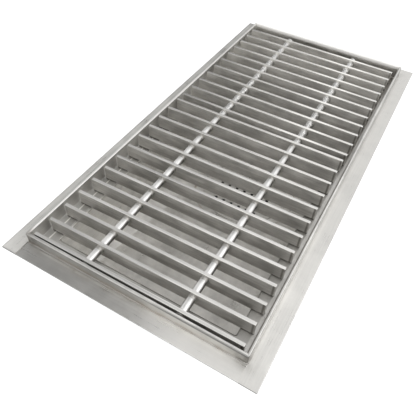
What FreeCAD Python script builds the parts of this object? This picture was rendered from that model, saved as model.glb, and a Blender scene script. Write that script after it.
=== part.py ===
import FreeCAD, Part
import math
import os

from FreeCAD import Vector

# Floor trough drain in stainless sheet, with two loose bar grates.
# X runs across the trough, Y along it with the far end positive, and Z up.
# The origin is the centre of the outlet pipe's lower end. All sizes are in millimetres.

# Trough sheet and rim
overall_width = 304.8
overall_length = 609.6
sheet = 1.6
hem_gap = 0.4
flange_width = 19.2
rim_rise = 14.5
rim_corner_radius = 2.0
rim_edge_radius = 1.2
edge_break = 0.4

# Ledge and basin
ledge_depth = 20.0
ledge_width = 19.3
bend_radius = 1.0
wall_corner_radius = 1.5
floor_depth_at_walls = 95.0
floor_depth_at_drain = 101.6
floor_flat_margin = 6.3

# Drain
outlet_diameter = 114.3
outlet_wall = 3.05
outlet_length = 50.8
seat_width = 6.35
seat_ring_lap = 12.7
seat_ring_thickness = 3.0
strainer_clearance = 1.0
perforation_diameter = 4.76
perforation_pitch = 12.7
perforation_margin = 1.5

# Grates
bar_thickness = 4.0
bar_height = 19.05
bar_pitch = 23.8
bar_edge_radius = 0.5
bar_side_clearance = 0.3
near_end_clearance = 0.4
far_end_clearance = 12.3
near_grate_length = 293.2
near_grate_skew_degrees = 0.5
grate_side_shift = 1.6
rod_diameter = 9.525
rod_spacing = 114.3
rod_depth = 7.0
rod_hole_clearance = 0.15
rod_end_chamfer = 0.8
near_rod_stub = 0.8
far_rod_stub = 6.0
rod_end_gap = 4.1

# Lengths and heights closer than this are the same
same = 1e-3

# Heights, from the outlet pipe's lower end upwards
seat_top = outlet_length + seat_ring_thickness
drain_floor = seat_top + sheet
flange_top = drain_floor + floor_depth_at_drain
flange_bottom = flange_top - sheet
wall_floor = flange_top - floor_depth_at_walls
rim_top = flange_top + rim_rise
ledge_top = rim_top - ledge_depth
bar_top = ledge_top + bar_height
rod_height = bar_top - rod_depth

# Half widths and half lengths of the rim, the opening inside it and the basin
rim_thickness = 2 * sheet + hem_gap
largest_rim_round = 0.45 * rim_thickness
rim_half = (overall_width / 2 - flange_width, overall_length / 2 - flange_width)
opening_half = (rim_half[0] - rim_thickness, rim_half[1] - rim_thickness)
basin_half = (opening_half[0] - ledge_width, opening_half[1] - ledge_width)

# Widths round the drain
outlet_bore = outlet_diameter - 2 * outlet_wall
drain_hole_diameter = outlet_diameter + 2 * seat_width
seat_ring_diameter = drain_hole_diameter + 2 * seat_ring_lap
floor_flat_width = seat_ring_diameter + 2 * floor_flat_margin

# The grates lie off the middle, and their bars clear the bend at the foot of the rim, also where one is askew
skew_slope = math.sin(math.radians(abs(near_grate_skew_degrees)))
skew_reach = near_grate_length / 2 * skew_slope
bar_half_length = opening_half[0] - bend_radius - bar_side_clearance - grate_side_shift - skew_reach

UP = Vector(0, 0, 1)
ALONG = Vector(0, 1, 0)


def block(x0, x1, y0, y1, z0, z1):
    """A box between two corners."""
    return Part.makeBox(x1 - x0, y1 - y0, z1 - z0, Vector(x0, y0, z0))


def upright_edges(shape):
    """The edges that run straight up."""
    return [e for e in shape.Edges if abs(e.BoundBox.ZLength - e.Length) < same]


def edges_at_height(shape, z):
    """The edges that lie level at one height."""
    return [e for e in shape.Edges if e.BoundBox.ZLength < same and abs(e.BoundBox.ZMin - z) < same]


def level_rectangle(half, z):
    """A closed wire round a rectangle about the Z axis."""
    x, y = half
    corners = [Vector(-x, -y, z), Vector(x, -y, z), Vector(x, y, z), Vector(-x, y, z)]
    return Part.makePolygon(corners + corners[:1])


def rounded_block(half, z0, z1, radius):
    """A box about the Z axis with rounded upright corners."""
    shape = block(-half[0], half[0], -half[1], half[1], z0, z1)
    return shape.makeFillet(radius, upright_edges(shape))


def trough_form(grow):
    """The space inside the sheet, or its outside when grown by the sheet's thickness."""
    upper_half = (opening_half[0] + grow, opening_half[1] + grow)
    lower_half = (basin_half[0] + grow, basin_half[1] + grow)
    flat_half = (floor_flat_width / 2, floor_flat_width / 2)
    corner = wall_corner_radius + grow
    ledge = ledge_top - grow
    wall_end = wall_floor - grow
    drain_end = drain_floor - grow

    upper = rounded_block(upper_half, ledge, rim_top, corner)
    upper = upper.makeFillet(bend_radius + grow, edges_at_height(upper, ledge))

    lower = rounded_block(lower_half, drain_end, ledge_top, corner)
    outlines = [level_rectangle(lower_half, wall_end), level_rectangle(flat_half, drain_end)]
    slopes = Part.makeLoft(outlines, True, True)
    straight = block(-lower_half[0], lower_half[0], -lower_half[1], lower_half[1], wall_end, ledge_top)
    lower = lower.common(straight.fuse(slopes))

    form = upper.fuse(lower).removeSplitter()
    ledge_edges = [
        e for e in edges_at_height(form, ledge)
        if abs(e.CenterOfMass.x) < lower_half[0] + same and abs(e.CenterOfMass.y) < lower_half[1] + same
    ]
    return form.makeFillet(bend_radius + sheet - grow, ledge_edges)


def make_trough_body():
    """The folded sheet: hemmed rim, ledge, basin walls and a bottom that falls to the drain hole."""
    edge_radius = min(rim_edge_radius, largest_rim_round)
    rim = rounded_block(rim_half, flange_bottom, rim_top, rim_corner_radius)
    rim = rim.makeFillet(edge_radius, edges_at_height(rim, rim_top))

    outer_leg = (rim_half[0] - sheet, rim_half[1] - sheet)
    inner_leg = (opening_half[0] + sheet, opening_half[1] + sheet)
    hem_top = rim_top - sheet
    hem = block(-outer_leg[0], outer_leg[0], -outer_leg[1], outer_leg[1], flange_bottom, hem_top)
    hem = hem.cut(rounded_block(inner_leg, flange_bottom, hem_top, wall_corner_radius + sheet))

    hole = Part.makeCylinder(drain_hole_diameter / 2, 2 * sheet, Vector(0, 0, drain_floor - 1.5 * sheet))
    body = rim.cut(hem).fuse(trough_form(sheet)).cut(trough_form(0)).cut(hole).removeSplitter()
    inner_edges = [
        e for e in edges_at_height(body, rim_top)
        if abs(e.CenterOfMass.x) < opening_half[0] + same and abs(e.CenterOfMass.y) < opening_half[1] + same
    ]
    return body.makeFillet(edge_radius, inner_edges)


def make_flange_strip(x0, x1, y0, y1, outward):
    """One flat strip of the flange, with its free edges eased; outward points away from the rim."""
    strip = block(x0, x1, y0, y1, flange_bottom, flange_top)
    face = max(strip.Faces, key=lambda f: f.CenterOfMass.dot(outward))
    return strip.makeFillet(edge_break, face.Edges)


def make_flange():
    """The four strips round the rim's foot: the side strips run full length, the end strips butt between."""
    rim_x, rim_y = rim_half
    edge_x = overall_width / 2
    edge_y = overall_length / 2
    return {
        "flange_left": make_flange_strip(-edge_x, -rim_x, -edge_y, edge_y, Vector(-1, 0, 0)),
        "flange_right": make_flange_strip(rim_x, edge_x, -edge_y, edge_y, Vector(1, 0, 0)),
        "flange_front": make_flange_strip(-rim_x, rim_x, -edge_y, -rim_y, Vector(0, -1, 0)),
        "flange_back": make_flange_strip(-rim_x, rim_x, rim_y, edge_y, Vector(0, 1, 0)),
    }


def make_bar(y):
    """One upright flat bar across the trough, drilled for the two rods."""
    half_thickness = bar_thickness / 2
    bar = block(-bar_half_length, bar_half_length, y - half_thickness, y + half_thickness, ledge_top, bar_top)
    bar = bar.makeFillet(bar_edge_radius, bar.Edges)
    hole_radius = rod_diameter / 2 + rod_hole_clearance
    for side in (-1, 1):
        start = Vector(side * rod_spacing / 2, y - bar_thickness, rod_height)
        bar = bar.cut(Part.makeCylinder(hole_radius, 2 * bar_thickness, start, ALONG))
    return bar


def make_rod(x, y0, y1):
    """One round rod along the grate, with chamfered ends."""
    rod = Part.makeCylinder(rod_diameter / 2, y1 - y0, Vector(x, y0, rod_height), ALONG)
    rims = [e for e in rod.Edges if e.Closed]
    return rod.makeChamfer(rod_end_chamfer, rims)


def make_grate(name, bar_places, stub, skew):
    """One loose grate section: bars at the given places and two rods through them, turned and moved aside."""
    pieces = {}
    for number, y in enumerate(bar_places, start=1):
        pieces[f"{name}_bar_{number:02d}"] = make_bar(y)
    reach = bar_thickness / 2 + stub
    for side_name, side in (("left", -1), ("right", 1)):
        x = side * rod_spacing / 2
        pieces[f"{name}_rod_{side_name}"] = make_rod(x, bar_places[0] - reach, bar_places[-1] + reach)
    middle = Vector(0, (bar_places[0] + bar_places[-1]) / 2, 0)
    for shape in pieces.values():
        shape.rotate(middle, UP, skew)
        shape.translate(Vector(-grate_side_shift, 0, 0))
    return pieces


def bar_row(first, room):
    """Places of bars from the first one on, at close to the pitch and evenly over the room for the row."""
    gaps = max(1, round((room - bar_thickness) / bar_pitch))
    step = (room - bar_thickness) / gaps
    return [first + number * step for number in range(gaps + 1)]


def make_grates():
    """The near section, and the far section in what is left of the opening."""
    near_start = -opening_half[1] + bend_radius + near_end_clearance + bar_half_length * skew_slope
    near_places = bar_row(near_start + bar_thickness / 2, near_grate_length)
    far_start = near_places[-1] + bar_thickness / 2 + near_rod_stub + rod_end_gap + far_rod_stub
    far_room = opening_half[1] - bend_radius - far_end_clearance - far_rod_stub - far_start
    far_places = bar_row(far_start + bar_thickness / 2, far_room)
    grates = make_grate("near", near_places, near_rod_stub, near_grate_skew_degrees)
    grates.update(make_grate("far", far_places, far_rod_stub, 0))
    return grates


def make_tube(outer, inner, z0, z1):
    """A ring or a pipe about the Z axis, between two heights, from its two diameters."""
    whole = Part.makeCylinder(outer / 2, z1 - z0, Vector(0, 0, z0))
    return whole.cut(Part.makeCylinder(inner / 2, z1 - z0, Vector(0, 0, z0)))


def make_outlet():
    """A flat seat ring under the bottom sheet, and the outlet pipe that butts against it from below."""
    return {
        "seat_ring": make_tube(seat_ring_diameter, outlet_bore, outlet_length, seat_top),
        "outlet_pipe": make_tube(outlet_diameter, outlet_bore, 0, outlet_length),
    }


def make_strainer_plate():
    """A flat perforated disc that lies on the seat ring, level with the bottom sheet."""
    radius = drain_hole_diameter / 2 - strainer_clearance
    plate = Part.makeCylinder(radius, sheet, Vector(0, 0, seat_top))
    plate = plate.makeFillet(edge_break, edges_at_height(plate, drain_floor))
    reach = (outlet_bore - perforation_diameter) / 2 - perforation_margin
    row_step = perforation_pitch * math.sqrt(3) / 2
    rows = int(reach / row_step)
    holes = []
    for row in range(-rows, rows + 1):
        y = row * row_step
        shift = (row % 2) * perforation_pitch / 2
        half_row = math.sqrt(reach ** 2 - y ** 2)
        first = math.ceil((-half_row - shift) / perforation_pitch)
        last = math.floor((half_row - shift) / perforation_pitch)
        for column in range(first, last + 1):
            place = Vector(column * perforation_pitch + shift, y, seat_top - sheet)
            holes.append(Part.makeCylinder(perforation_diameter / 2, 3 * sheet, place))
    return plate.cut(Part.makeCompound(holes))


def main():
    os.makedirs("parts", exist_ok=True)
    pieces = {"trough_body": make_trough_body()}
    pieces.update(make_flange())
    pieces.update(make_grates())
    pieces.update(make_outlet())
    pieces["strainer_plate"] = make_strainer_plate()
    for name, shape in pieces.items():
        shape.exportStep(f"parts/{name}.step")


main()
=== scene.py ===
import math

import bmesh
import bpy
from mathutils import Euler, Matrix, Vector


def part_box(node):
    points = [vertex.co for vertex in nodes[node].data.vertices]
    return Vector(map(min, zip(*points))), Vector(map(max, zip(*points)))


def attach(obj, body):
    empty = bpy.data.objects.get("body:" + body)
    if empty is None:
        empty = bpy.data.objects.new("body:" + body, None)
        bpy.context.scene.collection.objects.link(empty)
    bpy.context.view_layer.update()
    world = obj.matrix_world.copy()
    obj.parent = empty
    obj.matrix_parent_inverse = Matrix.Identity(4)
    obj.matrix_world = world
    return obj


bl_info = {
    "name": "Floor trough drain",
    "version": (1, 0, 0),
    "blender": (4, 5, 0),
    "location": "View3D > Sidebar > Drain",
    "description": "Steel finishes, welds and a studio for a floor trough drain with loose bar grates",
    "category": "Object",
}

# The construction is loaded first and stays as it is; every length is in metres
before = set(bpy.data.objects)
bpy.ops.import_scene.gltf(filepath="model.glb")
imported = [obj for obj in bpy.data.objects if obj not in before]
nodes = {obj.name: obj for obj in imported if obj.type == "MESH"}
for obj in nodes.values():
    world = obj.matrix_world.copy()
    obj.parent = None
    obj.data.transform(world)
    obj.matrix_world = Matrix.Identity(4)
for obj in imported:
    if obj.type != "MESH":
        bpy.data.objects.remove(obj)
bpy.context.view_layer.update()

MM = 0.001
BODY = "root"

# Inwards from the rim's outer face: its inner face, the painted highlight lines on the ledge, and the ledge's
# edge
RIM_THICKNESS = 3.6 * MM
RIGHT_HIGHLIGHT = 7.6 * MM
LEFT_HIGHLIGHT = 11.9 * MM
LEDGE_INSET = 22.9 * MM

# Outwards from the rim's foot to the end of the ground strip beside the weld
WELD_TOE = 3.2 * MM

# Roundings of the rim's and the basin's upright corners, and the depth of the basin at its walls
RIM_CORNER = 2.0 * MM
BASIN_CORNER = 1.5 * MM
WALL_DEPTH = 95 * MM

# Gap that the flange seams leave at the outer edge
SEAM_END_GAP = 0.6 * MM

# Points along one ripple of a bead and sides of its round
RIPPLE_POINTS = 4
BEAD_SIDES = 14

# Sides round a rod weld, steps up its rounding, and how deep it starts inside the rod and the bar
COLLAR_SIDES = 22
COLLAR_STEPS = 5
COLLAR_SUNK = 0.3 * MM

# Signs of the four corners, seen from above
CORNERS = ((-1, -1), (-1, 1), (1, -1), (1, 1))

BUMP_STRENGTH = 0.35
SENSOR_WIDTH_MM = 36
WHITE = (1.0, 1.0, 1.0, 1.0)

# Places that the looks take from the construction
trough_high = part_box("trough_body")[1]
flange_low, flange_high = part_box("flange_left")
ring_low, ring_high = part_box("seat_ring")
pipe_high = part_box("outlet_pipe")[1]
bar_low, bar_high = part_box("far_bar_01")
rod_low, rod_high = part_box("far_rod_left")

rim_half = (trough_high.x, trough_high.y)
rim_top = trough_high.z
flange_top = flange_high.z
sheet = flange_high.z - flange_low.z
bar_thickness = bar_high.y - bar_low.y
rod_radius = (rod_high.z - rod_low.z) / 2
rod_height = (rod_high.z + rod_low.z) / 2
bar_top = bar_high.z
ledge_top = bar_low.z


def middle_of(node):
    """The centre of a construction node's box."""
    low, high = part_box(node)
    return (low + high) / 2


def names_with(start):
    """The construction nodes whose names begin with the given words, in order."""
    return sorted(name for name in nodes if name.startswith(start))


class Grate:
    """Where one grate lies, taken from its bars and rods, how much painted shade and highlight its bars get,
    and the tone of its rods.
    """

    def __init__(self, name, front_shade, hole_shadow, gleam, left_shade, rod_tone, rod_patch, rod_contrast):
        self.name = name
        self.front_shade = front_shade
        self.hole_shadow = hole_shadow
        self.gleam = gleam
        self.left_shade = left_shade
        self.rod_tone = rod_tone
        self.rod_patch = rod_patch
        self.rod_contrast = rod_contrast
        self.bars = names_with(name + "_bar_")
        self.rods = names_with(name + "_rod_")
        first = middle_of(self.bars[0])
        last = middle_of(self.bars[-1])
        run = last - first
        self.middle = (first + last) / 2
        self.pitch = run.length / (len(self.bars) - 1)
        self.turn = math.atan2(-run.x, run.y)
        self.slope = math.tan(self.turn)
        low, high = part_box(self.bars[0])
        self.half_length = (high.x - low.x) / 2 / math.cos(self.turn)
        self.first_front = first.y - first.x * self.slope - bar_thickness / 2
        self.spacing = middle_of(self.rods[1]).x - middle_of(self.rods[0]).x


near_grate = Grate(
    "near", front_shade=0.3, hole_shadow=0.2, gleam=0.35, left_shade=0.15,
    rod_tone=1.05, rod_patch=18 * MM, rod_contrast=0.08)
far_grate = Grate(
    "far", front_shade=0.0, hole_shadow=0.7, gleam=0.9, left_shade=0.55,
    rod_tone=0.8, rod_patch=2.5 * MM, rod_contrast=0.4)


def shade(colour, share):
    """The same colour, lighter or darker."""
    return (colour[0] * share, colour[1] * share, colour[2] * share, 1.0)


class Graph:
    """A node tree that is being filled, for a material, the world or a modifier."""

    def __init__(self, tree):
        self.tree = tree
        tree.nodes.clear()

    def feed(self, socket, value):
        """Joins a socket to another or to a node's first output, or sets its own value."""
        if isinstance(value, bpy.types.Node):
            value = value.outputs[0]
        if isinstance(value, bpy.types.NodeSocket):
            self.tree.links.new(value, socket)
        else:
            socket.default_value = value

    def add(self, kind, inputs=None, **settings):
        """Adds one node with its settings and inputs."""
        node = self.tree.nodes.new(kind)
        for name, value in settings.items():
            setattr(node, name, value)
        for key, value in (inputs or {}).items():
            self.feed(node.inputs[key], value)
        return node

    def math(self, operation, a, b=0.0):
        """One sum on two numbers."""
        return self.add("ShaderNodeMath", {0: a, 1: b}, operation=operation)

    def chain(self, operation, first, *others):
        """One sum carried on through several numbers."""
        for other in others:
            first = self.math(operation, first, other)
        return first

    def product(self, *values):
        """Several numbers multiplied."""
        return self.chain("MULTIPLY", *values)

    def total(self, *values):
        """Several numbers added up."""
        return self.chain("ADD", *values)

    def most(self, *values):
        """The largest of several numbers."""
        return self.chain("MAXIMUM", *values)

    def less(self, a, b):
        """One number taken from another."""
        return self.math("SUBTRACT", a, b)

    def plain(self, value):
        """A number without its sign."""
        return self.math("ABSOLUTE", value)

    def below(self, value, limit):
        """1 where a number is under a limit, and 0 elsewhere."""
        return self.math("LESS_THAN", value, limit)

    def slant(self, a, b):
        """The straight distance over two legs at a right angle."""
        return self.math("SQRT", self.total(self.product(a, a), self.product(b, b)))

    def step(self, value, start, end, low=0.0, high=1.0):
        """A smooth step from low at the start to high at the end."""
        sockets = {"Value": value, "From Min": start, "From Max": end, "To Min": low, "To Max": high}
        return self.add("ShaderNodeMapRange", sockets, interpolation_type="SMOOTHSTEP")

    def band(self, value, middle, half_width):
        """A soft stripe round one value."""
        return self.step(self.plain(self.less(value, middle)), half_width, 0.4 * half_width)

    def blend(self, share, a, b):
        """One number going over into another."""
        return self.add("ShaderNodeMix", {0: share, 2: a, 3: b}, data_type="FLOAT")

    def blend_colours(self, share, a, b):
        """One colour going over into another."""
        return self.add("ShaderNodeMix", {0: share, 6: a, 7: b}, data_type="RGBA").outputs[2]

    def noise(self, vector, size, detail=2.0, roughness=0.5, seed=0.0):
        """Cloudy noise with patches of about the given size."""
        sockets = {"Vector": vector, "W": seed, "Scale": 1 / size, "Detail": detail, "Roughness": roughness}
        return self.add("ShaderNodeTexNoise", sockets, noise_dimensions="4D")


class SteelGraph(Graph):
    """The node tree of one steel finish, on Object coordinates, and its colour so far."""

    def __init__(self, name, anisotropy=0.0, across=None):
        self.material = bpy.data.materials.new(name)
        self.material.use_nodes = True
        super().__init__(self.material.node_tree)
        self.colour = None
        self.place = self.add("ShaderNodeTexCoord").outputs["Object"]
        self.shader = self.add("ShaderNodeBsdfPrincipled", {"Metallic": 1.0, "Anisotropic": anisotropy})
        self.add("ShaderNodeOutputMaterial", {"Surface": self.shader})
        if across is not None:
            turn = self.add("ShaderNodeCombineXYZ", dict(enumerate(across)))
            self.feed(self.shader.inputs["Tangent"], turn)
        self.x, self.y, self.z = self.add("ShaderNodeSeparateXYZ", {0: self.place}).outputs

    def stretched(self, along, width, length, turn=(0.0, 0.0, 0.0)):
        """Coordinates drawn out along one axis, for marks of about the given width and length."""
        scale = [1 / width] * 3
        scale["XYZ".index(along)] = 1 / length
        return self.add("ShaderNodeMapping", {"Vector": self.place, "Scale": scale, "Rotation": turn})

    def streaks(self, along, width=3.0 * MM, length=150 * MM, seed=0.0):
        """Fine brush marks that run along one axis, from 0 to 1."""
        drawn = self.stretched(along, width, length)
        return self.step(self.noise(drawn, 1.0, 5.0, 0.7, seed), 0.30, 0.70)

    def scratches(self, along, turn, amount, seed):
        """A few thin hand marks at a slant to the brush marks."""
        drawn = self.stretched(along, 1.2 * MM, 45 * MM, (0.0, 0.0, turn))
        return self.step(self.noise(drawn, 1.0, 1.0, 0.5, seed), 0.80 - amount, 0.86 - amount)

    def patches(self, size, low=0.35, high=0.65, seed=0.0):
        """Soft smudges of about the given size."""
        return self.step(self.noise(self.place, size, 4.0, 0.6, seed), low, high)

    def looks(self, axis):
        """How far a face looks along one axis, from -1 to 1."""
        normal = self.add("ShaderNodeNewGeometry").outputs["Normal"]
        return self.add("ShaderNodeSeparateXYZ", {0: normal}).outputs["XYZ".index(axis)]

    def facing(self, axis):
        """How far a face looks along one axis, either way."""
        return self.plain(self.looks(axis))

    def rim_offsets(self):
        """How far a point lies beside the rim and beyond its ends, seen from above."""
        return self.less(self.plain(self.x), rim_half[0]), self.less(self.plain(self.y), rim_half[1])

    def foot_distance(self):
        """How far a point lies outside the rim, seen from above."""
        return self.most(*self.rim_offsets())

    def corner_distance(self):
        """How far a point lies from the nearest upright corner of the rim, seen from above."""
        return self.slant(*self.rim_offsets())

    def paint(self, metal, low, high, share):
        """Starts the colour: one metal, from a dark shade to a light one."""
        self.colour = self.blend_colours(share, shade(metal, low), shade(metal, high))

    def coat(self, metal, strength, *shares):
        """Lays a shade of one metal over the colour so far, as far as the shares let it."""
        self.colour = self.blend_colours(self.product(*shares), self.colour, shade(metal, strength))

    def finish(self, roughness, height, relief):
        """Joins colour, roughness and surface height to the shader."""
        bump = self.add("ShaderNodeBump", {"Strength": BUMP_STRENGTH, "Distance": relief, "Height": height})
        self.feed(self.shader.inputs["Base Color"], self.colour)
        self.feed(self.shader.inputs["Roughness"], roughness)
        self.feed(self.shader.inputs["Normal"], bump)
        return self.material


class TroughGraph(SteelGraph):
    """The trough's finish, with shares that say on which part of the trough a point lies."""

    def __init__(self, name):
        super().__init__(name, anisotropy=0.45, across=(1.0, 0.02, 0.03))
        beside, beyond = self.rim_offsets()
        self.foot = self.foot_distance()
        self.depth = self.less(rim_top, self.z)
        self.at_end = self.below(beside, beyond)
        self.at_side = self.less(1.0, self.at_end)
        self.at_front = self.product(self.at_end, self.below(self.y, 0.0))
        self.at_back = self.less(self.at_end, self.at_front)
        self.at_left = self.below(self.x, 0.0)
        self.at_right = self.less(1.0, self.at_left)
        self.far_part = self.step(self.y, -10 * MM, 60 * MM)
        self.above_ledge = self.math("GREATER_THAN", self.z, ledge_top - 1.5 * MM)
        self.on_ledge = self.band(self.z, ledge_top, 0.8 * MM)
        self.ledge_edge = self.product(self.band(self.foot, -LEDGE_INSET, 1.3 * MM), self.above_ledge)
        within = self.step(self.foot, -RIM_THICKNESS + 0.9 * MM, -RIM_THICKNESS + 0.3 * MM)
        self.within_rim = self.product(self.above_ledge, within)
        self.rim_lip = self.step(self.depth, 1.3 * MM, 0.7 * MM)
        self.outside = self.step(self.foot, -1.6 * MM, -0.8 * MM)
        self.outer_face = self.product(self.outside, self.step(self.depth, 0.8 * MM, 1.6 * MM))


def dress(names, material):
    """Gives the construction nodes a finish in place of their plain one."""
    for name in names:
        for slot in nodes[name].material_slots:
            slot.material = material


class DrainFinishes(bpy.types.PropertyGroup):
    """Colours of the steel surfaces, of what lies on them, and of the painted shade."""

    sheet: bpy.props.FloatVectorProperty(
        name="Trough sheet", description="Colour of the folded trough",
        subtype="COLOR", min=0, max=1, default=(0.68, 0.67, 0.645))
    flange: bpy.props.FloatVectorProperty(
        name="Flange", description="Colour of the flat strips round the rim",
        subtype="COLOR", min=0, max=1, default=(0.64, 0.63, 0.605))
    bar_side: bpy.props.FloatVectorProperty(
        name="Bar sides", description="Colour of the rolled sides of the grate bars",
        subtype="COLOR", min=0, max=1, default=(0.65, 0.635, 0.605))
    # Also the colour of the painted highlights on the trough and the flange strips
    bar_edge: bpy.props.FloatVectorProperty(
        name="Bar tops", description="Colour of the ground top edges of the grate bars",
        subtype="COLOR", min=0, max=1, default=(0.75, 0.74, 0.715))
    rod: bpy.props.FloatVectorProperty(
        name="Rods", description="Colour of the bright drawn rods",
        subtype="COLOR", min=0, max=1, default=(0.80, 0.795, 0.78))
    weld: bpy.props.FloatVectorProperty(
        name="Welds", description="Colour of the weld beads",
        subtype="COLOR", min=0, max=1, default=(0.62, 0.605, 0.575))
    heat_tint: bpy.props.FloatVectorProperty(
        name="Heat tint", description="Straw brown that welding leaves beside a bead",
        subtype="COLOR", min=0, max=1, default=(0.36, 0.31, 0.245))
    # Mostly the colour of painted shade in gaps and creases, at the bars' feet and ends and on the rods; also
    # of darker spots round corners and inside the pipe
    shade_and_grime: bpy.props.FloatVectorProperty(
        name="Grime", description="Dark film in the corners and where the bars rest",
        subtype="COLOR", min=0, max=1, default=(0.16, 0.15, 0.135))
    heat_reach: bpy.props.FloatProperty(
        name="Heat reach", description="How far the heat tint reaches from the rim's foot",
        unit="LENGTH", min=0, default=9 * MM)


class DrainWelds(bpy.types.PropertyGroup):
    """Sizes of the weld beads."""

    collar_length: bpy.props.FloatProperty(
        name="Rod weld length", description="How far the weld in front of a bar reaches along the rod",
        unit="LENGTH", min=0, default=4.0 * MM)
    collar_height: bpy.props.FloatProperty(
        name="Rod weld height", description="How far the weld in front of a bar stands out from the rod",
        unit="LENGTH", min=0, default=0.4 * MM)
    far_collar_length: bpy.props.FloatProperty(
        name="Far rod weld length",
        description="How far the rougher welds of the far grate reach along the rod",
        unit="LENGTH", min=0, default=9.0 * MM)
    far_collar_height: bpy.props.FloatProperty(
        name="Far rod weld height",
        description="How far the rougher welds of the far grate stand out from the rod",
        unit="LENGTH", min=0, default=0.25 * MM)
    rim_bead: bpy.props.FloatProperty(
        name="Rim weld", description="Radius of the bead along the rim's foot",
        unit="LENGTH", min=0, default=1.1 * MM)
    seam_bead: bpy.props.FloatProperty(
        name="Flange seam", description="Half width of the ground seams between the flange strips",
        unit="LENGTH", min=0, default=0.9 * MM)
    outlet_bead: bpy.props.FloatProperty(
        name="Outlet weld", description="Radius of the beads round the outlet pipe and its ring",
        unit="LENGTH", min=0, default=2.2 * MM)
    corner_bead: bpy.props.FloatProperty(
        name="Corner weld", description="Radius of the beads down the outer corners of the basin",
        unit="LENGTH", min=0, default=1.6 * MM)
    ripple: bpy.props.FloatProperty(
        name="Ripple", description="Length of one ripple along a bead",
        unit="LENGTH", min=0.1 * MM, default=2.0 * MM)
    seed: bpy.props.IntProperty(
        name="Seed", description="Picks the uneven places of the welds", default=7)


class DrainStudio(bpy.types.PropertyGroup):
    """Camera, floor and light."""

    heading: bpy.props.FloatProperty(
        name="Heading", description="How far the camera is turned left of the trough's length",
        subtype="ANGLE", default=math.radians(26.604))
    pitch: bpy.props.FloatProperty(
        name="Pitch", description="How far the camera looks down",
        subtype="ANGLE", default=math.radians(48.628))
    roll: bpy.props.FloatProperty(
        name="Roll", description="Turn of the camera about its own line of sight",
        subtype="ANGLE", default=math.radians(4.010))
    distance: bpy.props.FloatProperty(
        name="Distance", description="From the camera to the point that it looks at",
        unit="LENGTH", min=0.01, default=0.53096)
    aim: bpy.props.FloatVectorProperty(
        name="Aim", description="Point that the camera looks at, on the flange's top",
        subtype="TRANSLATION", default=(0.00902, -0.13971, flange_top))
    lens: bpy.props.FloatProperty(
        name="Lens", description="Focal length in millimetres", min=1, default=38.721)
    floor_size: bpy.props.FloatProperty(
        name="Floor", description="Width of the floor", unit="LENGTH", min=1, default=14)
    floor_glow: bpy.props.FloatProperty(
        name="Floor glow", description="Light that keeps the floor white under the part", min=0, default=0.9)
    key_direction: bpy.props.FloatVectorProperty(
        name="Key direction", description="Where the soft light stands, seen from the part",
        subtype="DIRECTION", default=(0.60, 0.35, 0.72))
    key_distance: bpy.props.FloatProperty(
        name="Key distance", description="From the part to the soft light",
        unit="LENGTH", min=0.1, default=2.4)
    key_size: bpy.props.FloatProperty(
        name="Key size", description="Width of the soft light", unit="LENGTH", min=0.01, default=1.0)
    key_power: bpy.props.FloatProperty(
        name="Key power", description="Power of the soft light in watts", min=0, default=9)
    dark_side: bpy.props.FloatProperty(
        name="Dark side", description="Brightness of the room on the left", min=0, default=0.36)
    window: bpy.props.FloatProperty(
        name="Window", description="Extra brightness of the room at the far left", min=0, default=0.6)
    left_fill: bpy.props.FloatProperty(
        name="Left fill", description="Extra brightness of the room low on the left", min=0, default=0.7)
    bright_side: bpy.props.FloatProperty(
        name="Bright side", description="Brightness of the room overhead and on the right",
        min=0, default=1.2)
    horizon: bpy.props.FloatProperty(
        name="Horizon", description="Share of the room's brightness that is left at floor level",
        min=0, default=0.3)
    front_fill: bpy.props.FloatProperty(
        name="Front fill", description="Extra brightness of the room behind the camera", min=0, default=0.75)


# In the finishes x runs across the trough, y along it to the far grate and z up; shares run from 0 to 1
def light_and_shade_ledge(g, look):
    """Paints shade over the ledge and highlights along its left edge and along a line on each side near the
    bars' ends; returns the highlight share.
    """
    # Painted shade over the ledge, deeper on the right towards its inner edge
    right_shade = g.step(g.foot, -11 * MM, -21 * MM, 0.3, 0.6)
    shading = g.blend(g.at_left, right_shade, 0.4)
    g.coat(look.sheet, 0.4, g.within_rim, g.on_ledge, shading)
    # Painted highlights along a line on each side of the ledge and along its left edge
    left_highlight = g.product(g.band(g.foot, -LEFT_HIGHLIGHT, 1.2 * MM), g.at_left, 0.8)
    right_highlight = g.product(g.band(g.foot, -RIGHT_HIGHLIGHT, 2.4 * MM), g.at_right, g.less(1.0, g.far_part), 0.35)
    line_highlights = g.product(g.most(left_highlight, right_highlight), g.on_ledge)
    ledge_highlight = g.most(g.product(g.ledge_edge, g.at_left), line_highlights)
    g.coat(look.bar_edge, 1.3, ledge_highlight)
    return ledge_highlight


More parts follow.
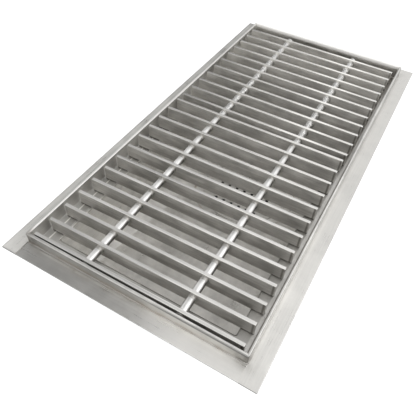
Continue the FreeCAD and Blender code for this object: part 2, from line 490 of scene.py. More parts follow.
def mark_rim(g, look):
    """Paints highlights on the left and back lips and paints shade on parts of the rest of the rim, darkening
    its top at the front-left corner; returns both highlights and the back one.
    """
    # Painted highlights on the left rim's top and on the back rim's upper part
    left_rim_highlight = g.product(g.rim_lip, g.band(g.foot, -1.9 * MM, 1.6 * MM), g.at_left, g.at_side)
    back_rim_highlight = g.product(g.step(g.depth, 6.5 * MM, 3 * MM), g.at_back)
    rim_highlights = g.most(left_rim_highlight, back_rim_highlight)
    g.coat(look.bar_edge, 1.1, rim_highlights, 0.9)
    # Painted shade on the right rim's top towards the front
    near_part = g.step(g.y, -60 * MM, -250 * MM, 0.0, 0.4)
    g.coat(look.sheet, 0.4, g.rim_lip, g.at_side, g.at_right, near_part)
    # Painted shadow along the left rim's outer edge towards the front
    towards_front = g.step(g.y, -150 * MM, -240 * MM, 0.0, 0.9)
    g.coat(look.sheet, 0.35, g.at_left, g.at_side, towards_front, g.band(g.foot, 0.0, 1.3 * MM))
    # Darker on the rim's top at the front-left corner
    corner = g.step(g.corner_distance(), 13 * MM, 4 * MM)
    g.coat(look.shade_and_grime, 1.8, corner, g.below(g.y, 0.0), g.at_left, g.rim_lip, 0.6)
    # Painted shade on the front rim's top towards the left
    g.coat(look.sheet, 0.4, g.rim_lip, g.at_front, g.step(g.x, -20 * MM, -80 * MM, 0.0, 0.25))
    # Painted shadow just under the front rim's top edge, most on the right
    brow = g.product(g.step(g.foot, -1.5 * MM, -0.7 * MM), g.step(g.depth, 3.2 * MM, 1.8 * MM))
    g.coat(look.sheet, 0.3, brow, g.at_front, g.step(g.x, -20 * MM, 60 * MM, 0.0, 0.85))
    return rim_highlights, back_rim_highlight


def shade_gaps(g, look):
    """Painted shade in the gaps between bars and rim, at the ledge's right edge and along the rim's inner
    edge.
    """
    gap = g.product(g.step(g.foot, -9 * MM, -6 * MM), g.step(g.depth, 0.6 * MM, 1.8 * MM))
    front_gap = g.product(gap, g.within_rim, g.at_front, 0.3)
    back_gap = g.product(g.at_back, g.within_rim, g.step(g.depth, 6 * MM, 10 * MM, 0.0, 0.45))
    far_gap = g.product(g.far_part, g.band(g.foot, -9.6 * MM, 1.9 * MM))
    back_right = g.product(g.band(g.foot, -7.5 * MM, 5 * MM), g.step(g.y, 170 * MM, 250 * MM))
    right_gap = g.product(g.most(far_gap, back_right), g.at_right, g.on_ledge, 0.85)
    ledge_edge = g.product(g.ledge_edge, g.at_right, 0.6)
    inner_edge = g.product(
        g.band(g.foot, -RIM_THICKNESS + 0.4 * MM, 1.3 * MM), g.step(g.depth, 4 * MM, 2 * MM),
        g.at_right, g.blend(g.most(g.at_end, g.far_part), 0.95, 0.0))
    # Painted shade over all these gaps and edges
    g.coat(look.shade_and_grime, 1.3, g.most(ledge_edge, inner_edge, front_gap, back_gap, right_gap))


def mark_outside(g, look):
    """Paints shade on the rim's outer face at its ends, most on the left, tints it with heat near the foot,
    and paints shade in spots round its welded corners.
    """
    # Painted shade on the rim's outer face at the front and back, most on the left
    g.coat(look.sheet, 0.4, g.outer_face, g.at_end, g.step(g.x, 90 * MM, -20 * MM, 0.05, 0.42))
    low_part = g.step(g.less(g.z, flange_top), 1.1 * look.heat_reach, 0.0)
    tinted = g.patches(24 * MM, 0.3, 0.6, seed=5.0)
    g.coat(look.heat_tint, 1.0, g.outside, low_part, tinted, g.step(g.x, 110 * MM, 0.0, 0.2, 0.6))
    # Painted shade round the rim's outer corners, in uneven spots
    distance = g.corner_distance()
    spots = g.product(g.step(distance, 24 * MM, 3 * MM), g.patches(7 * MM, 0.3, 0.6, seed=6.0))
    corner = g.most(spots, g.step(distance, 9 * MM, 2 * MM, 0.0, 0.9))
    g.coat(look.shade_and_grime, 1.2, corner, g.outer_face, 0.8)


def make_trough_finish(look):
    """Brushed sheet: grain along the trough, turned at the ends, mottled on the floor, heat-tinted outside,
    with painted highlights and painted shade on the ledge and the rim and painted shade in the gaps.
    """
    g = TroughGraph("brushed_trough_sheet")
    across = g.most(g.step(g.facing("Y"), 0.6, 0.8), g.product(g.at_end, g.above_ledge))
    grain = g.blend(across, g.streaks("Y", seed=1.0), g.streaks("X", seed=2.0))
    on_floor = g.product(g.step(g.facing("Z"), 0.7, 0.9), g.below(g.z, ledge_top - 10 * MM))
    mottle = g.patches(9 * MM, 0.3, 0.7, seed=7.0)
    grain = g.blend(g.product(on_floor, 0.75), grain, mottle)
    smudge = g.patches(38 * MM, 0.36, 0.64, seed=3.0)
    marks = g.scratches("Y", 0.35, 0.04, seed=4.0)
    g.paint(look.sheet, 0.76, 1.18, g.blend(0.7, grain, smudge))
    ledge_highlight = light_and_shade_ledge(g, look)
    rim_highlights, back_rim_highlight = mark_rim(g, look)
    shade_gaps(g, look)
    mark_outside(g, look)

    matt = g.most(g.within_rim, g.outer_face, rim_highlights)
    roughness = g.total(g.product(g.total(grain, smudge, matt), 0.14), g.blend(ledge_highlight, 0.24, 0.12))
    g.feed(g.shader.inputs["Metallic"], g.blend(back_rim_highlight, 1.0, 0.2))
    return g.finish(roughness, g.less(grain, g.product(marks, 0.35)), 0.05 * MM)


def make_flange_finish(look, along):
    """Brushed strip: grain along it, smudges, a dull ground strip and heat tint beside the rim with a lighter
    line beyond, and painted light and shade: at the corners, along the end strips and on the left strip.
    """
    at_end = along == "X"
    name, across = ("end", (0.02, 1.0, 0.03)) if at_end else ("side", (1.0, 0.02, 0.03))
    g = SteelGraph("brushed_flange_" + name, anisotropy=0.75, across=across)
    foot = g.foot_distance()
    from_corner = g.corner_distance()
    grain = g.streaks(along, 1.8 * MM, 60 * MM, seed=11.0)
    smudge = g.patches(32 * MM, 0.36, 0.64, seed=12.0)
    marks = g.scratches(along, 0.5, 0.05, seed=13.0)
    g.paint(look.flange, 0.9, 1.1, g.blend(0.5, grain, smudge))

    # A dull ground strip beside the weld; on the end strips it is darker to the left as painted shade
    strip = g.step(foot, WELD_TOE + 0.6 * MM, WELD_TOE - 1.2 * MM)
    dullness = g.step(g.x, 60 * MM, -40 * MM, 0.0, 0.25) if at_end else 0.05
    g.coat(look.flange, 0.5, strip, dullness)
    close = g.step(foot, look.heat_reach, 1.0 * MM)
    tint = g.step(g.x, 90 * MM, -20 * MM, 0.05, 0.45) if at_end else 0.05
    g.coat(look.heat_tint, 1.15, close, g.patches(20 * MM, 0.45, 0.68, seed=14.0), tint)
    # Painted shade round the corners, in spots
    spots = g.patches(8 * MM, 0.35, 0.6, seed=15.0)
    g.coat(look.shade_and_grime, 1.6, g.step(from_corner, 14 * MM, 3 * MM), spots, 0.2)
    toe = g.product(g.band(foot, WELD_TOE, 1.8 * MM), g.patches(30 * MM, 0.34, 0.58, seed=16.0))
    shine = g.step(g.x, 30 * MM, -60 * MM, 0.25, 0.7) if at_end else 0.15
    g.coat(look.bar_edge, 1.2, toe, g.step(from_corner, 12 * MM, 30 * MM), shine)
    if at_end:
        # Painted shade towards the left and a painted highlight in the middle of the end strips
        g.coat(look.flange, 0.4, g.step(g.x, 60 * MM, -110 * MM, 0.0, 0.4))
        g.coat(look.bar_edge, 1.33, g.step(g.x, 0.0, 45 * MM), g.step(g.x, 50 * MM, 125 * MM, 0.5, 0.1))
    on_left = g.below(g.x, -rim_half[0])
    # Painted highlight at the front end of the left strip
    g.coat(look.bar_edge, 1.33, g.step(g.y, -262 * MM, -288 * MM, 0.0, 0.35), on_left)
    # A lighter line and a darker outer edge along the left strip
    g.coat(look.bar_edge, 1.2, g.band(foot, 15.0 * MM, 2.6 * MM), on_left, 0.2)
    g.coat(look.flange, 0.45, g.step(foot, 17.6 * MM, 18.8 * MM, 0.0, 0.4), on_left)

    roughness = g.total(g.product(grain, 0.14), g.product(smudge, 0.08), 0.24)
    return g.finish(roughness, g.less(grain, g.product(marks, 0.12)), 0.03 * MM)


def make_bar_finish(look, grate):
    """Rolled flat bar: clouded sides with long grain, ground tops, painted shade near the sheared ends, on
    the first bar's face, round the rod holes and at the feet, and painted light and shade on the tops and the
    far sides.
    """
    g = SteelGraph(grate.name + "_rolled_bar", anisotropy=0.3, across=(0.02, 0.03, 1.0))
    grain = g.streaks("X", 1.6 * MM, 140 * MM, seed=21.0)
    cloud = g.streaks("X", 16 * MM, 42 * MM, seed=22.0)
    marks = g.scratches("X", 0.6, 0.06, seed=23.0)
    tone = g.blend(0.55, grain, cloud)

    g.paint(look.bar_side, 0.66, 1.24, tone)
    forwards = g.less(g.y, grate.middle.y)
    along = g.total(g.less(g.x, grate.middle.x), g.product(forwards, grate.slope))
    # Painted shade on the bars near their ends, beside the rim's walls
    g.coat(look.shade_and_grime, 1.2, g.band(along, grate.half_length - 2.2 * MM, 1.6 * MM), 0.75)
    # Painted shade on the first bar's front face, beside the rim
    behind = g.less(g.y, g.product(g.x, grate.slope))
    front = g.step(behind, grate.first_front + 1.2 * MM, grate.first_front + 0.4 * MM)
    front_shade = g.step(g.x, 20 * MM, -80 * MM, grate.front_shade, 2.5 * grate.front_shade)
    g.coat(look.shade_and_grime, 1.3, front, front_shade)
    # Painted shadow round the rod holes on the bars' faces, most on the right
    from_rod = g.less(along, g.product(g.math("SIGN", along), grate.spacing / 2))
    from_axis = g.slant(from_rod, g.less(g.z, rod_height))
    ring = g.step(from_axis, rod_radius + 3.2 * MM, rod_radius + 1.2 * MM)
    hole_shadow = g.product(ring, g.step(from_rod, 1.0 * MM, 3.0 * MM), grate.hole_shadow)
    right_more = g.step(g.x, -20 * MM, 20 * MM, 0.35, 1.0)
    g.coat(look.shade_and_grime, 0.6, hole_shadow, g.patches(14 * MM, 0.3, 0.6, seed=24.0), right_more)
    # Painted light on the bars' sides towards the far end
    g.coat(look.bar_side, 1.4, g.step(g.y, 90 * MM, 240 * MM, 0.0, 0.3))
    side = g.colour

    g.paint(look.bar_edge, 0.84, 1.16, grain)
    # Painted shade on the near tops and at the left of the tops, and a painted highlight right of the middle
    g.coat(look.bar_edge, 0.4, g.step(g.y, -120 * MM, -260 * MM, 0.0, 0.12))
    g.coat(look.bar_edge, 0.4, g.step(g.x, -75 * MM, -115 * MM, 0.0, grate.left_shade))
    g.coat(look.bar_edge, 1.33, g.band(g.x, 50 * MM, 45 * MM), grate.gleam)
    # The ground tops and the bars' end faces take the lighter top colour; on the end faces it is partly
    # painted light
    ground = g.step(g.z, bar_top - 0.25 * MM, bar_top - 0.08 * MM)
    bright = g.most(ground, g.step(g.facing("X"), 0.90, 0.97))
    g.colour = g.blend_colours(bright, side, g.colour)
    # Painted shade where the bars stand on the ledge
    resting = g.step(g.foot_distance(), -LEDGE_INSET, -LEDGE_INSET + 2 * MM)
    g.coat(look.shade_and_grime, 1.0, resting, g.step(g.z, ledge_top + 2.2 * MM, ledge_top + 0.8 * MM))

    side_rough = g.blend(tone, 0.38, 0.62)
    top_rough = g.blend(grain, 0.30, 0.50)
    roughness = g.blend(bright, side_rough, top_rough)
    return g.finish(roughness, g.less(grain, g.product(marks, 0.4)), 0.10 * MM)


def make_rod_finish(look, grate):
    """Drawn rod with faint draw lines, with painted shade on its right side and flank, along both flanks and
    in front of each bar.
    """
    g = SteelGraph(grate.name + "_drawn_rod", anisotropy=0.2, across=(1.0, 0.0, 1.0))
    grain = g.streaks("Y", 1.2 * MM, 60 * MM, seed=31.0)
    smudge = g.patches(grate.rod_patch, 0.35, 0.65, seed=32.0)
    tone = g.blend(0.6, grain, smudge)
    darkest = grate.rod_tone * (1 - grate.rod_contrast)
    lightest = grate.rod_tone * (1 + grate.rod_contrast)
    g.paint(look.rod, darkest, lightest, tone)
    # Painted shade on the rod towards the face of the next bar
    behind = g.less(g.y, g.product(g.x, grate.slope))
    to_next_bar = g.math("FRACT", g.math("DIVIDE", g.less(behind, grate.first_front), grate.pitch))
    g.coat(look.rod, 0.4, g.step(to_next_bar, 0.45, 0.90, 0.0, 0.55))
    # Painted shade on the rod's right side, with a darker painted line along its right flank
    to_right = g.looks("X")
    g.coat(look.rod, 0.4, g.step(to_right, 0.05, 0.5, 0.0, 0.35))
    g.coat(look.shade_and_grime, 1.0, g.step(to_right, 0.66, 0.92, 0.0, 0.7))
    # Painted shade along both flanks towards the next bar
    flank = g.step(g.plain(to_right), 0.55, 0.85)
    g.coat(look.shade_and_grime, 1.2, flank, g.step(to_next_bar, 0.5, 0.75), 0.6)
    return g.finish(g.blend(tone, 0.34, 0.50), grain, 0.05 * MM)


def make_weld_finish(look, name, metal, tint, low, high):
    """Weld metal: duller than the sheet, pitted, with patches of heat tint."""
    g = SteelGraph(name)
    pits = g.step(g.noise(g.place, 1.6 * MM, 3.0, 0.6, seed=41.0), 0.3, 0.7)
    g.paint(metal, low, high, pits)
    g.coat(look.heat_tint, 1.2, g.patches(6 * MM, 0.45, 0.7, seed=42.0), tint)
    return g.finish(g.blend(pits, 0.30, 0.60), pits, 0.12 * MM)


def make_rim_weld_finish(look):
    """The ground weld along the rim's foot: dull, tinted in patches, with a painted shadow line at the side
    rims and painted shade towards the left and round the corners.
    """
    g = SteelGraph("rim_weld")
    pits = g.noise(g.place, 1.1 * MM, 3.0, 0.6, seed=43.0)
    beside = g.rim_offsets()[0]
    at_side = g.step(beside, -1.5 * MM, 0.0)
    g.paint(look.flange, 0.9, 1.2, pits)
    clean = g.colour
    g.paint(look.weld, 0.65, 0.95, pits)
    g.coat(look.heat_tint, 0.9, g.patches(18 * MM, 0.40, 0.66, seed=44.0), 0.45)
    # Painted shade towards the left
    g.coat(look.weld, 0.4, g.step(g.x, 40 * MM, -60 * MM, 0.0, 0.5))
    g.colour = g.blend_colours(at_side, g.colour, clean)
    # Painted shadow line along the foot of the side rims
    g.coat(look.shade_and_grime, 1.0, g.step(beside, 1.3 * MM, 0.5 * MM), g.step(beside, -0.4 * MM, 0.0), 0.35)
    # Painted shade round the corners, in spots
    spots = g.patches(6 * MM, 0.3, 0.6, seed=45.0)
    g.coat(look.shade_and_grime, 1.2, g.step(g.corner_distance(), 16 * MM, 3 * MM), spots, 0.7)
    return g.finish(g.total(g.product(pits, 0.25), g.blend(at_side, 0.6, 0.4)), pits, 0.10 * MM)


def make_plate_finish(look, name, along, inner_darkening):
    """Mill finish for the drain's own pieces: cloudy, with rolling marks, and darker inside the pipe."""
    g = SteelGraph(name)
    grain = g.streaks(along, 1.6 * MM, 50 * MM, seed=51.0)
    cloud = g.patches(16 * MM, 0.3, 0.7, seed=52.0)
    tone = g.blend(0.55, grain, cloud)
    g.paint(look.sheet, 0.78, 1.08, tone)
    inside = g.step(g.slant(g.x, g.y), pipe_high.x - 1.0 * MM, pipe_high.x - 2.0 * MM)
    g.coat(look.shade_and_grime, 0.5, inside, inner_darkening)
    return g.finish(g.blend(tone, 0.28, 0.53), grain, 0.08 * MM)


def new_tree(name, sockets):
    """A modifier's node tree with its named inputs; returns its graph and those inputs."""
    tree = bpy.data.node_groups.new(name, "GeometryNodeTree")
    tree.interface.new_socket("Geometry", in_out="OUTPUT", socket_type="NodeSocketGeometry")
    tree.interface.new_socket("Geometry", in_out="INPUT", socket_type="NodeSocketGeometry")
    for label, kind in sockets.items():
        tree.interface.new_socket(label, in_out="INPUT", socket_type="NodeSocket" + kind)
    graph = Graph(tree)
    return graph, graph.add("NodeGroupInput").outputs


def close_tree(graph, geometry, material):
    """Ends a tree: smooth faces, no instances left, and the material on all of it."""
    smooth = graph.add("GeometryNodeSetShadeSmooth", {"Geometry": geometry})
    real = graph.add("GeometryNodeRealizeInstances", {"Geometry": smooth})
    done = graph.add("GeometryNodeSetMaterial", {"Geometry": real, "Material": material})
    graph.add("NodeGroupOutput", {"Geometry": done})


def uneven_swing(g, given):
    """How far a weld swings out or in at each place, by the tree's own inputs."""
    scale = g.math("DIVIDE", 1.0, given["Patch Size"])
    sockets = {"Vector": g.add("GeometryNodeInputPosition"), "W": given["Seed"], "Scale": scale}
    noise = g.add("ShaderNodeTexNoise", sockets, noise_dimensions="4D")
    return g.product(g.less(noise, 0.5), given["Unevenness"])


def bead_tree():
    """A weld bead along bare edges: round or flattened, rippled and a little uneven."""
    g, given = new_tree("weld_bead", {
        "Bead Radius": "Float", "Flatness": "Float", "Ripple Length": "Float", "Ripple Share": "Float",
        "Unevenness": "Float", "Patch Size": "Float", "Seed": "Int", "Material": "Material",
    })
    path = g.add("GeometryNodeMeshToCurve", {"Mesh": given["Geometry"]})
    spacing = g.math("DIVIDE", given["Ripple Length"], RIPPLE_POINTS)
    fine = g.add("GeometryNodeResampleCurve", {"Curve": path, "Length": spacing}, mode="LENGTH")
    upright = g.add("GeometryNodeSetCurveNormal", {"Curve": fine}, mode="Z_UP")

    run = g.add("GeometryNodeSplineParameter").outputs["Length"]
    turns = g.product(g.math("DIVIDE", run, given["Ripple Length"]), math.tau)
    ripple = g.product(g.math("SINE", turns), given["Ripple Share"])
    width = g.product(g.total(ripple, uneven_swing(g, given), 1.0), given["Bead Radius"])

    circle = g.add("GeometryNodeCurvePrimitiveCircle", {"Resolution": BEAD_SIDES, "Radius": 1.0})
    squash = g.add("ShaderNodeCombineXYZ", {0: given["Flatness"], 1: 1.0, 2: 1.0})
    profile = g.add("GeometryNodeTransform", {"Geometry": circle, "Scale": squash})
    bead = g.add("GeometryNodeCurveToMesh", {
        "Curve": upright, "Profile Curve": profile, "Scale": width, "Fill Caps": True,
    })
    close_tree(g, bead, given["Material"])
    return g.tree


def collar_tree():
    """Weld collars where two rods pass through a row of bars; the collar itself comes in as the mesh."""
    g, given = new_tree("rod_weld_row", {
        "Rod Spacing": "Float", "Bar Pitch": "Float", "Bar Count": "Int", "Turn": "Float", "Middle": "Vector",
        "Unevenness": "Float", "Patch Size": "Float", "Seed": "Int", "Material": "Material",
    })
    start = g.product(g.less(given["Bar Count"], 1.0), given["Bar Pitch"], -0.5)
    half_spacing = g.product(given["Rod Spacing"], 0.5)
    step = g.add("ShaderNodeCombineXYZ", {1: given["Bar Pitch"]})
    rows = g.add("GeometryNodeJoinGeometry")
    for side in (-1.0, 1.0):
        first = g.add("ShaderNodeCombineXYZ", {0: g.product(half_spacing, side), 1: start})
        sockets = {"Count": given["Bar Count"], "Start Location": first, "Offset": step}
        row = g.add("GeometryNodeMeshLine", sockets, mode="OFFSET")
        g.feed(rows.inputs[0], row)
    placed = g.add("GeometryNodeInstanceOnPoints", {"Points": rows, "Instance": given["Geometry"]})
    whole = g.add("GeometryNodeRealizeInstances", {"Geometry": placed})
    turn = g.add("ShaderNodeCombineXYZ", {2: given["Turn"]})
    places = {"Translation": given["Middle"], "Rotation": turn}
    turned = g.add("GeometryNodeTransform", {"Geometry": whole, **places})

    outwards = g.add("GeometryNodeInputNormal")
    shift = g.add("ShaderNodeVectorMath", {0: outwards, "Scale": uneven_swing(g, given)}, operation="SCALE")
    uneven = g.add("GeometryNodeSetPosition", {"Geometry": turned, "Offset": shift})
    close_tree(g, uneven, given["Material"])
    return g.tree


def grow(mesh, tree, values):
    """Runs a node tree on a mesh and keeps the result as one plain piece that rides on the part."""
    name = mesh.name
    piece = bpy.data.objects.new(name, mesh)
    bpy.context.scene.collection.objects.link(piece)
    modifier = piece.modifiers.new(name, "NODES")
    modifier.node_group = tree
    inputs = {item.name: item.identifier for item in tree.interface.items_tree if item.in_out == "INPUT"}
    for label, value in values.items():
        modifier[inputs[label]] = value
    graph = bpy.context.evaluated_depsgraph_get()
    made = bpy.data.meshes.new_from_object(piece.evaluated_get(graph))
    piece.modifiers.remove(modifier)
    piece.data = made
    if not made.polygons:
        raise RuntimeError(f"{name} came out empty")
    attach(piece, BODY)


def edge_paths(name, runs, closed):
    """A mesh of bare edges along runs of points."""
    points = []
    edges = []
    for run in runs:
        start = len(points)
        points += [tuple(p) for p in run]
        edges += [(start + i, start + i + 1) for i in range(len(run) - 1)]
        if closed:
            edges.append((start + len(run) - 1, start))
    mesh = bpy.data.meshes.new(name)
    mesh.from_pydata(points, edges, [])
    return mesh


def circle_run(radius, z, steps=96):
    """Points round a level circle about the Z axis."""
    angles = [math.tau * i / steps for i in range(steps)]
    return [Vector((radius * math.cos(a), radius * math.sin(a), z)) for a in angles]


def rounded_rectangle_run(half, radius, z, steps=6):
    """Points round a level rectangle with rounded corners."""
    run = []
    for quarter, (sx, sy) in enumerate([(1, 1), (-1, 1), (-1, -1), (1, -1)]):
        centre = Vector((sx * (half[0] - radius), sy * (half[1] - radius), z))
        for i in range(steps + 1):
            angle = math.radians(90) * (quarter + i / steps)
            run.append(centre + radius * Vector((math.cos(angle), math.sin(angle), 0)))
    return run


def collar_mesh(name, length, height, sides):
    """Weld collars about the Y axis on the given faces of one bar, each rounded and closed inside the rod."""
    sunk = rod_radius - COLLAR_SUNK
    inside_bar = bar_thickness / 2 - COLLAR_SUNK
    reach = bar_thickness / 2 + length
    quarter = [math.radians(90) * i / COLLAR_STEPS for i in range(COLLAR_STEPS + 1)]
    rise = [(reach - length * (1 - math.cos(t)), rod_radius + height * math.sin(t)) for t in quarter]
    outline = [(reach, sunk)] + rise + [(inside_bar, rise[-1][1]), (inside_bar, sunk)]
    bm = bmesh.new()
    for side in sides:
        line = [bm.verts.new((r, side * y, 0)) for y, r in outline]
        edges = [bm.edges.new(pair) for pair in zip(line, line[1:])]
        bmesh.ops.spin(
            bm, geom=line + edges, axis=(0, 1, 0), angle=math.tau, steps=COLLAR_SIDES, use_merge=True)
    bmesh.ops.remove_doubles(bm, verts=bm.verts, dist=0.001 * MM)
    bmesh.ops.holes_fill(bm, edges=[e for e in bm.edges if e.is_boundary])
    bmesh.ops.recalc_face_normals(bm, faces=bm.faces)
    mesh = bpy.data.meshes.new(name)
    bm.to_mesh(mesh)
    bm.free()
    return mesh


class DRAIN_OT_finish_trough(bpy.types.Operator):
    """Gives the folded trough its brushed sheet"""
    bl_idname = "drain.finish_trough"
    bl_label = "Finish trough"

    def execute(self, context):
        dress(["trough_body"], make_trough_finish(context.scene.drain_finishes))
        return {"FINISHED"}


class DRAIN_OT_finish_flange(bpy.types.Operator):
    """Gives the four flange strips brushed sheet with the grain along each strip"""
    bl_idname = "drain.finish_flange"
    bl_label = "Finish flange"

    def execute(self, context):
        look = context.scene.drain_finishes
        dress(["flange_front", "flange_back"], make_flange_finish(look, "X"))
        dress(["flange_left", "flange_right"], make_flange_finish(look, "Y"))
        return {"FINISHED"}


class DRAIN_OT_finish_grates(bpy.types.Operator):
    """Gives the bars their rolled sides and ground tops, and the rods their drawn finish"""
    bl_idname = "drain.finish_grates"
    bl_label = "Finish grates"

    def execute(self, context):
        look = context.scene.drain_finishes
        for grate in (near_grate, far_grate):
            dress(grate.bars, make_bar_finish(look, grate))
            dress(grate.rods, make_rod_finish(look, grate))
        return {"FINISHED"}


class DRAIN_OT_finish_outlet(bpy.types.Operator):
    """Gives the strainer, the seat ring and the outlet pipe a mill finish"""
    bl_idname = "drain.finish_outlet"
    bl_label = "Finish outlet"

    def execute(self, context):
        look = context.scene.drain_finishes
        dress(["strainer_plate"], make_plate_finish(look, "strainer_mill", "X", 0.0))
        dress(["seat_ring", "outlet_pipe"], make_plate_finish(look, "outlet_mill", "Z", 0.9))
        return {"FINISHED"}


class DRAIN_OT_weld_grates(bpy.types.Operator):
    """Welds the rods to the bars of both grates"""
    bl_idname = "drain.weld_grates"
    bl_label = "Weld grates"

    def execute(self, context):
        welds = context.scene.drain_welds
        look = context.scene.drain_finishes
        # The near welds are dark partly as painted shade in front of each bar
        near_finish = make_weld_finish(look, "near_rod_weld", look.weld, tint=0.0, low=0.5, high=0.75)
        far_finish = make_weld_finish(look, "far_rod_weld", look.rod, tint=0.0, low=0.35, high=1.16)
        tree = collar_tree()
        front, back = -1, 1
        near_mesh = collar_mesh("near_rod_welds", welds.collar_length, welds.collar_height, (front,))
        far_mesh = collar_mesh(
            "far_rod_welds", welds.far_collar_length, welds.far_collar_height, (front, back))
        # The near grate's first bar has no weld on its face towards the rim
        along = Vector((-math.sin(near_grate.turn), math.cos(near_grate.turn), 0))
        near_middle = near_grate.middle + along * near_grate.pitch / 2
        rows = [
            (near_grate, near_mesh, near_finish, len(near_grate.bars) - 1, near_middle, 0.4 * MM),
            (far_grate, far_mesh, far_finish, len(far_grate.bars), far_grate.middle, 1.2 * MM),
        ]
        for grate, mesh, finish, count, middle, swing in rows:
            grow(mesh, tree, {
                "Rod Spacing": grate.spacing, "Bar Pitch": grate.pitch, "Bar Count": count,
                "Turn": grate.turn, "Middle": (middle.x, middle.y, rod_height),
                "Unevenness": swing, "Patch Size": 3 * MM, "Seed": welds.seed, "Material": finish,
            })
        return {"FINISHED"}


class DRAIN_OT_weld_sheet(bpy.types.Operator):
    """Welds the flange to the rim's foot and to itself, the outlet to the bottom, and the basin's corners"""
    bl_idname = "drain.weld_sheet"
    bl_label = "Weld sheet"

    def execute(self, context):
        welds = context.scene.drain_welds
        look = context.scene.drain_finishes
        tree = bead_tree()
        common = {"Ripple Length": welds.ripple, "Seed": welds.seed}
        sheet_weld = make_weld_finish(look, "sheet_weld", look.weld, tint=0.8, low=0.78, high=1.22)
        ground_weld = make_rim_weld_finish(look)
        flange_finish = nodes["flange_front"].material_slots[0].material

        rim = rounded_rectangle_run(rim_half, RIM_CORNER, flange_top)
        grow(edge_paths("rim_foot_weld", [rim], True), tree, {
            **common, "Bead Radius": welds.rim_bead, "Flatness": 1.0, "Ripple Share": 0.02,
            "Unevenness": 0.4, "Patch Size": 14 * MM, "Material": ground_weld,
        })

        seams = []
        for sx, sy in CORNERS:
            inner = Vector((sx * rim_half[0], sy * rim_half[1], flange_top))
            outer = Vector((sx * rim_half[0], sy * (flange_high.y - SEAM_END_GAP), flange_top))
            seams.append([inner, outer])
        grow(edge_paths("flange_seam_welds", seams, False), tree, {
            **common, "Bead Radius": welds.seam_bead, "Flatness": 0.06, "Ripple Share": 0.02,
            "Unevenness": 0.35, "Patch Size": 6 * MM, "Material": flange_finish,
        })

        rounds = [circle_run(pipe_high.x, ring_low.z), circle_run(ring_high.x, ring_high.z)]
        rough = {
            **common, "Flatness": 1.0, "Ripple Share": 0.08,
            "Unevenness": 0.3, "Patch Size": 9 * MM, "Material": sheet_weld,
        }
        outlet = edge_paths("outlet_welds", rounds, True)
        grow(outlet, tree, {**rough, "Bead Radius": welds.outlet_bead})

        eased = (BASIN_CORNER + sheet) * (1 - math.sqrt(0.5))
        corner_x = rim_half[0] - LEDGE_INSET + sheet - eased
        corner_y = rim_half[1] - LEDGE_INSET + sheet - eased
        low = flange_top - WALL_DEPTH + sheet
        high = ledge_top - 2 * sheet
        corners = []
        for sx, sy in CORNERS:
            corners.append([Vector((sx * corner_x, sy * corner_y, z)) for z in (low, high)])
        basin = edge_paths("basin_corner_welds", corners, False)
        grow(basin, tree, {**rough, "Bead Radius": welds.corner_bead})
        return {"FINISHED"}


class DRAIN_OT_set_stage(bpy.types.Operator):
    """Sets up the white floor, the soft light and the camera"""
    bl_idname = "drain.set_stage"
    bl_label = "Set stage"

    def execute(self, context):
        studio = context.scene.drain_studio
        make_floor(studio)
        make_light(studio)
        make_camera(studio)
        return {"FINISHED"}


def make_floor(studio):
    """A plain white floor that glows a little, except inside the outlet pipe that stands on it, where it is
    painted black as shade.
    """
    half = studio.floor_size / 2
    mesh = bpy.data.meshes.new("floor")
    corners = [(-half, -half, 0), (half, -half, 0), (half, half, 0), (-half, half, 0)]
    mesh.from_pydata(corners, [], [(0, 1, 2, 3)])
    floor = bpy.data.objects.new("floor", mesh)
    bpy.context.scene.collection.objects.link(floor)
    material = bpy.data.materials.new("white_floor")
    material.use_nodes = True
    g = Graph(material.node_tree)
    place = g.add("ShaderNodeTexCoord").outputs["Object"]
    reach = g.add("ShaderNodeVectorMath", {0: place}, operation="LENGTH").outputs["Value"]
    outside = g.math("GREATER_THAN", reach, pipe_high.x)
    seen = g.add("ShaderNodeLightPath").outputs["Is Camera Ray"]
    glow = g.product(outside, seen, studio.floor_glow)
    # Painted shade: the floor is black inside the pipe's footprint
    grey = g.blend_colours(outside, shade(WHITE, 0.01), shade(WHITE, 0.25))
    shader = g.add("ShaderNodeBsdfPrincipled", {
        "Base Color": grey, "Roughness": 0.9, "Specular IOR Level": 0.0,
        "Emission Color": WHITE, "Emission Strength": glow,
    })
    g.add("ShaderNodeOutputMaterial", {"Surface": shader})
    mesh.materials.append(material)


def make_light(studio):
    """One large soft light from behind and to the right, in a pale room that is darker on the left."""
    towards = Vector(studio.key_direction).normalized()
    world = bpy.data.worlds.new("studio")
    bpy.context.scene.world = world
    world.use_nodes = True
    g = Graph(world.node_tree)
    direction = g.add("ShaderNodeTexCoord").outputs["Generated"]
    aside, depth, height = g.add("ShaderNodeSeparateXYZ", {0: direction}).outputs
    room = g.step(aside, -0.40, -0.05, studio.dark_side, studio.bright_side)
    room = g.total(room, g.step(aside, -0.56, -0.60, 0.0, studio.window))
    room = g.product(room, g.step(height, 0.05, 0.40, studio.horizon, 1.0))
    low_left = g.product(g.step(aside, -0.62, -0.76), g.step(height, 0.35, 0.15, 0.0, studio.left_fill))
    in_front = g.step(depth, -0.20, -0.65, 0.0, studio.front_fill)
    seen = g.add("ShaderNodeLightPath").outputs["Is Camera Ray"]
    strength = g.blend(seen, g.total(room, low_left, in_front), 1.0)
    back = g.add("ShaderNodeBackground", {"Color": WHITE, "Strength": strength})
    g.add("ShaderNodeOutputWorld", {"Surface": back})

    lamp = bpy.data.lights.new("soft_key", "AREA")
    lamp.shape = "SQUARE"
    lamp.size = studio.key_size
    lamp.energy = studio.key_power
    key = bpy.data.objects.new("soft_key", lamp)
    key.location = towards * studio.key_distance
    key.rotation_euler = (-towards).to_track_quat("-Z", "Y").to_euler()
    bpy.context.scene.collection.objects.link(key)


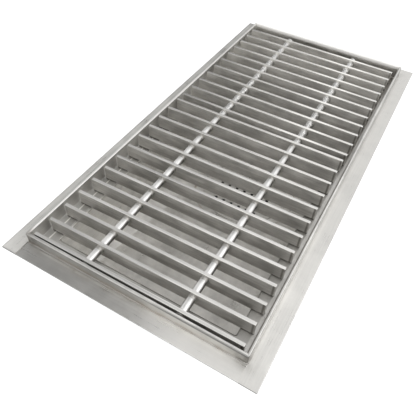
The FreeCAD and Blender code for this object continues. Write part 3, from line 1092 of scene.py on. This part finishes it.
def make_camera(studio):
    """The camera, turned, tipped and rolled about the point that it looks at."""
    turned = Euler((math.radians(90) - studio.pitch, 0, studio.heading)).to_matrix().to_4x4()
    turned = turned @ Matrix.Rotation(studio.roll, 4, "Z")
    data = bpy.data.cameras.new("camera")
    data.lens = studio.lens
    data.sensor_width = SENSOR_WIDTH_MM
    data.clip_start = 0.01
    data.clip_end = 100
    camera = bpy.data.objects.new("camera", data)
    back_off = Matrix.Translation((0, 0, studio.distance))
    camera.matrix_world = Matrix.Translation(studio.aim) @ turned @ back_off
    bpy.context.scene.collection.objects.link(camera)
    bpy.context.scene.camera = camera
    bpy.context.scene.view_settings.view_transform = "Standard"


class DRAIN_PT_panel(bpy.types.Panel):
    """Lists the steps and the values of the drain"""
    bl_label = "Floor trough drain"
    bl_idname = "DRAIN_PT_panel"
    bl_space_type = "VIEW_3D"
    bl_region_type = "UI"
    bl_category = "Drain"

    def draw(self, context):
        for operator in OPERATORS:
            self.layout.operator(operator.bl_idname)
        for attribute, group in GROUPS.items():
            values = getattr(context.scene, attribute)
            for name in group.__annotations__:
                self.layout.prop(values, name)


OPERATORS = (
    DRAIN_OT_finish_trough,
    DRAIN_OT_finish_flange,
    DRAIN_OT_finish_grates,
    DRAIN_OT_finish_outlet,
    DRAIN_OT_weld_grates,
    DRAIN_OT_weld_sheet,
    DRAIN_OT_set_stage,
)
GROUPS = {"drain_finishes": DrainFinishes, "drain_welds": DrainWelds, "drain_studio": DrainStudio}


def register():
    """Adds the groups of values, the operators and the panel to Blender."""
    for item in (*GROUPS.values(), *OPERATORS, DRAIN_PT_panel):
        bpy.utils.register_class(item)
    for attribute, group in GROUPS.items():
        setattr(bpy.types.Scene, attribute, bpy.props.PointerProperty(type=group))


def unregister():
    """Takes them out again."""
    for attribute in GROUPS:
        delattr(bpy.types.Scene, attribute)
    for item in (DRAIN_PT_panel, *reversed(OPERATORS), *GROUPS.values()):
        bpy.utils.unregister_class(item)


def main():
    """Runs every step in order."""
    register()
    bpy.ops.drain.finish_trough()
    bpy.ops.drain.finish_flange()
    bpy.ops.drain.finish_grates()
    bpy.ops.drain.finish_outlet()
    bpy.ops.drain.weld_grates()
    bpy.ops.drain.weld_sheet()
    bpy.ops.drain.set_stage()


if __name__ == "__main__":
    main()
